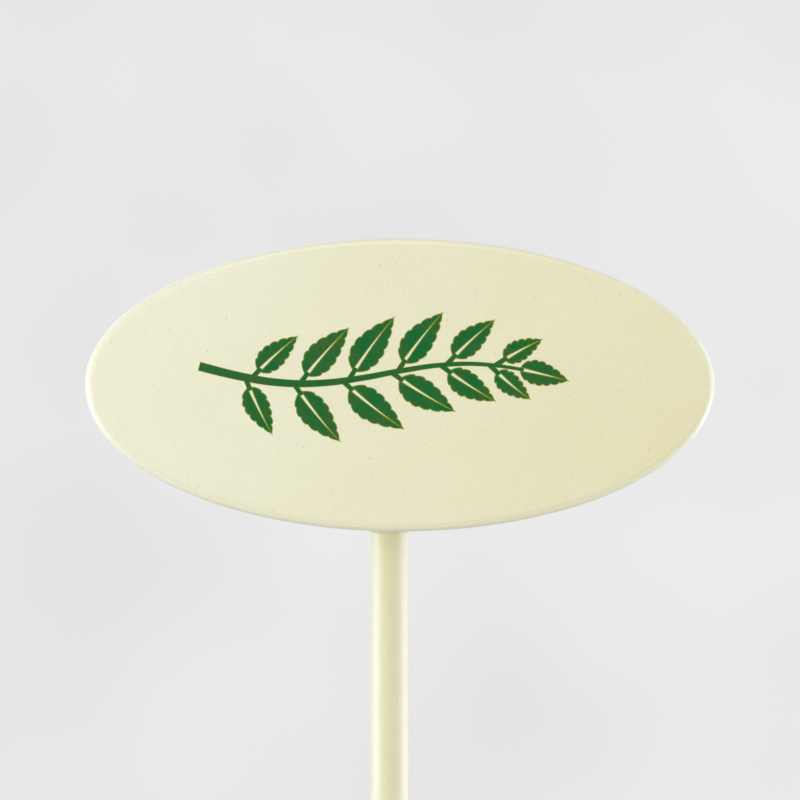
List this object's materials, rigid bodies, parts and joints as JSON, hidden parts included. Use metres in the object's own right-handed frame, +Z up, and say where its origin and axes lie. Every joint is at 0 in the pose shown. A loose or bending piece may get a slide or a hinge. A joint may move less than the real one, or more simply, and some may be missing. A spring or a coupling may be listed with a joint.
{
  "type": "plant label stake",
  "caption": "Oval enamelled metal label plate welded by its back to a round rod with a ground point, pushed into soil to mark a plant.",
  "frame": {"origin": "on the rod's axis at the soil line, 90 mm above the point", "axes": "+Z up along the rod, +X to the right of a reader, +Y away from the reader; the label faces -Y"},
  "size_m": [0.073, 0.0061, 0.27],
  "materials": {
    "cream_enamel": "satin cream enamel over steel",
    "green_ink": "fired green screen print"
  },
  "bodies": {
    "root": {"sign_plate": "cream_enamel", "stake_rod": "cream_enamel", "weld_bead_left": "cream_enamel", "weld_bead_right": "cream_enamel", "weld_bead_lower": "cream_enamel"}
  },
  "joints": []
}
